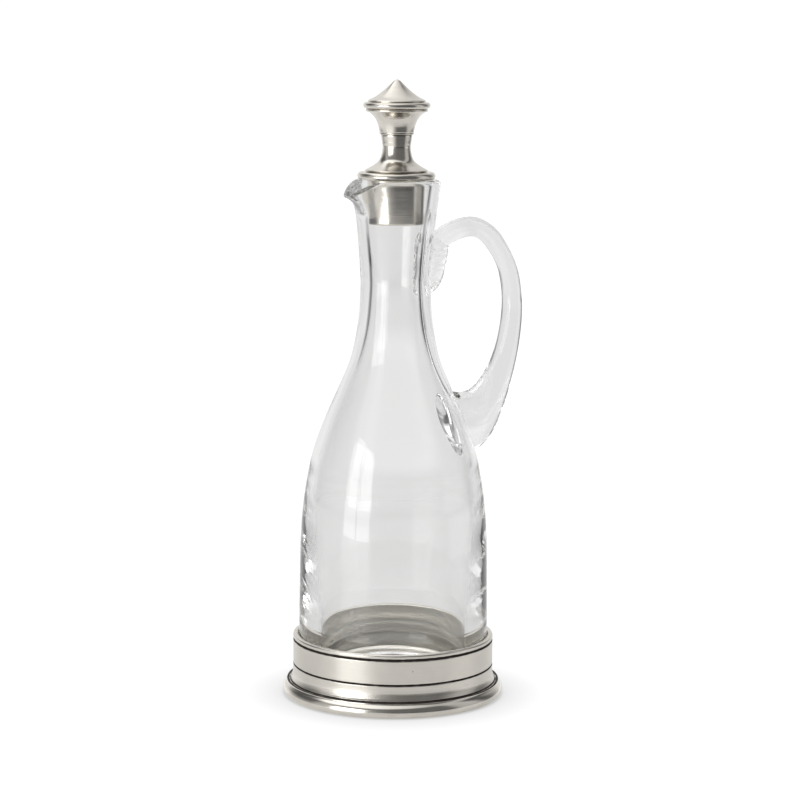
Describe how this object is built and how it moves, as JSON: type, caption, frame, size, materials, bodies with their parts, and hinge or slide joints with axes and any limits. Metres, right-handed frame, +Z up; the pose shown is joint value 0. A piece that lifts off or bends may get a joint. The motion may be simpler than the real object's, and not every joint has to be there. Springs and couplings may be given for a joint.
{
  "type": "glass oil bottle",
  "caption": "Clear glass oil bottle with a pulled pouring lip and a side handle, set in a pewter base, closed by a lift-out pewter stopper.",
  "frame": {"origin": "centre of the base's flat underside, on the bottle's axis", "axes": "+Z up along the bottle's axis, +X from the axis to the handle, -X to the pouring lip, Y across the plane of symmetry"},
  "size_m": [0.1081, 0.0938, 0.26],
  "materials": {
    "clear_glass": "clear, fire polished",
    "satin_pewter": "satin, fine turning lines, dark in the grooves",
    "polished_pewter": "soft polish with small pits and dark recesses",
    "brushed_pewter": "turned, brushed",
    "bedding": "matte, translucent"
  },
  "bodies": {
    "bottle": {"glass_bottle": "clear_glass", "glass_handle": "clear_glass", "base_collar": "satin_pewter", "base_foot_ring": "polished_pewter", "base_plate": "satin_pewter", "bond_bead": "bedding"},
    "stopper": {"stopper_knob_cap": "polished_pewter", "stopper_knob_body": "polished_pewter", "stopper_stem": "polished_pewter", "stopper_flange": "polished_pewter", "plug_sleeve": "brushed_pewter", "plug_end_disc": "brushed_pewter"}
  },
  "joints": [
    {"name": "stopper_lift", "type": "slide", "parent": "bottle", "child": "stopper", "axis": [0, 0, 1], "range_m": [0, 0.06]}
  ]
}
